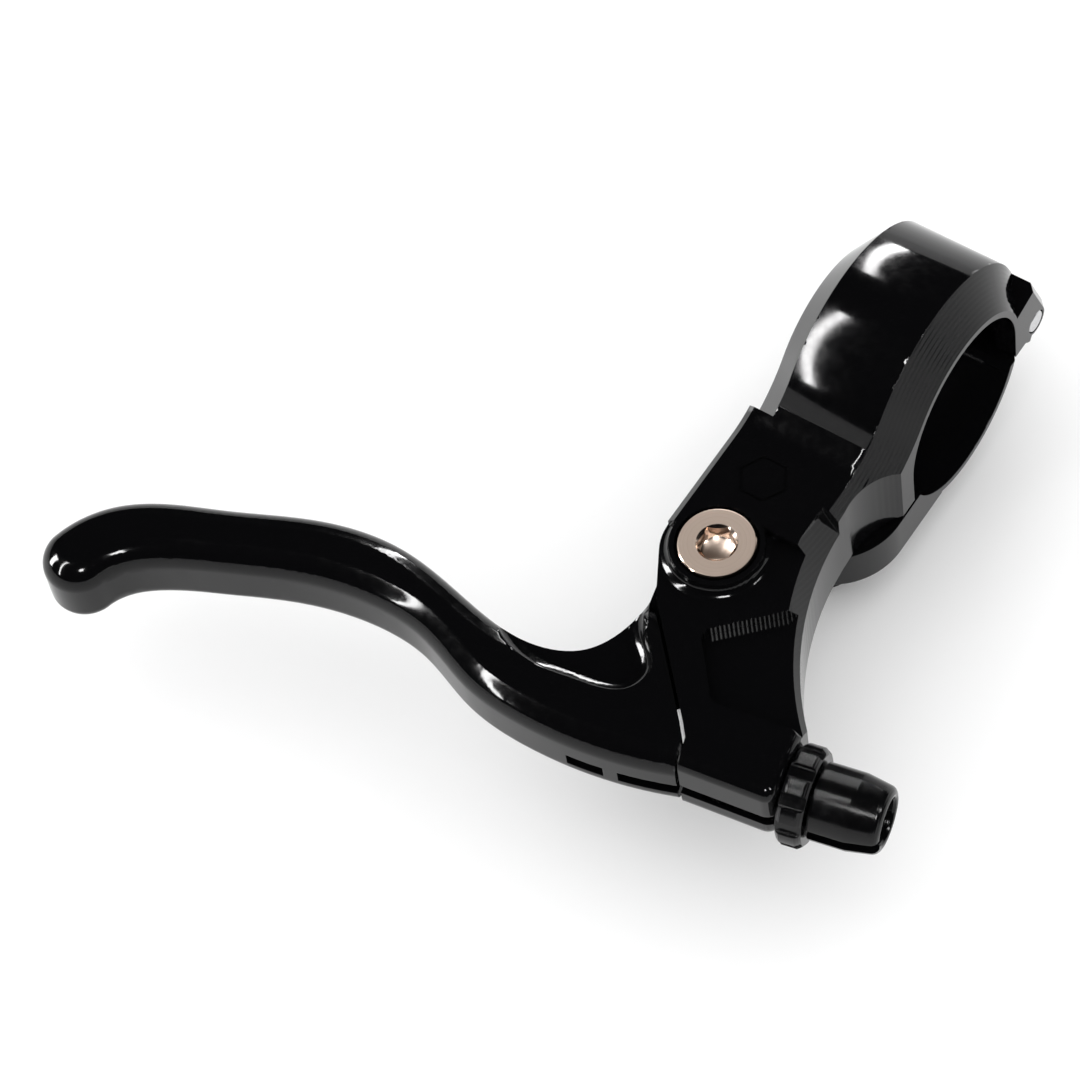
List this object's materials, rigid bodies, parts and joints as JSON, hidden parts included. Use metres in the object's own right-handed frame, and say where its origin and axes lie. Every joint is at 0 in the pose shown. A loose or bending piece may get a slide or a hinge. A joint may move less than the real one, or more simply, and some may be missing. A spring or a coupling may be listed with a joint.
{
  "type": "clutch lever assembly",
  "caption": "Short cable clutch lever: machined perch with a hinged handlebar clamp, curved finger blade on a bushed pivot, and a slotted cable adjuster with a lock wheel.",
  "frame": {"origin": "on the handlebar's axis, halfway across the clamp", "axes": "+X along the handlebar towards the cable adjuster, +Y from the lever over the bar, +Z normal to the lever's plane on the side of the pivot bolt's head"},
  "size_m": [0.099, 0.0916, 0.0331],
  "materials": {
    "black_anodised": "machined, polished and black anodised, high gloss",
    "stainless": "turned bright stainless steel",
    "pin_steel": "ground bright steel",
    "black_oxide_steel": "black oxide, satin",
    "bush_bronze": "sintered bronze, matte"
  },
  "bodies": {
    "perch": {"perch_body": "black_anodised", "clamp_hinge_pin": "pin_steel", "pivot_bolt": "stainless", "pivot_sleeve": "pin_steel"},
    "lever": {"lever_blade": "black_anodised", "upper_bush": "bush_bronze", "lower_bush": "bush_bronze"},
    "clamp": {"clamp_half": "black_anodised"},
    "clamp_screw": {"clamp_bolt": "black_oxide_steel", "clamp_bolt_washer": "pin_steel"},
    "lock_wheel": {"adjuster_lock_wheel": "black_anodised"},
    "seat": {"housing_seat": "pin_steel"},
    "barrel": {"adjuster_barrel": "black_anodised"}
  },
  "joints": [
    {"name": "lever_pivot", "type": "hinge", "parent": "perch", "child": "lever", "pos_m": [-0.0026, -0.0327, 0.0015], "axis": [0, 0, -1], "range_deg": [0, 25]},
    {"name": "clamp_swing", "type": "hinge", "parent": "perch", "child": "clamp", "pos_m": [0, 0.0156, -0.003], "axis": [1, 0, 0], "range_deg": [0, 90]},
    {"name": "clamp_bolt_out", "type": "slide", "parent": "clamp", "child": "clamp_screw", "axis": [0, 0, -1], "range_m": [0, 0.012]},
    {"name": "lock_wheel_turn", "type": "hinge", "parent": "perch", "child": "lock_wheel", "pos_m": [0.0183, -0.0516, 0.0003], "axis": [0.9781, 0.2079, 0], "continuous": true},
    {"name": "adjuster_travel", "type": "slide", "parent": "perch", "child": "seat", "axis": [0.9781, 0.2079, 0], "range_m": [0, 0.005]},
    {"name": "adjuster_turn", "type": "hinge", "parent": "seat", "child": "barrel", "pos_m": [0.0183, -0.0516, 0.0003], "axis": [0.9781, 0.2079, 0], "range_deg": [0, 1800.5]}
  ],
  "couplings": [
    {"joint": "adjuster_turn", "follows": "adjuster_travel", "rad_per_m": 6283.2}
  ]
}
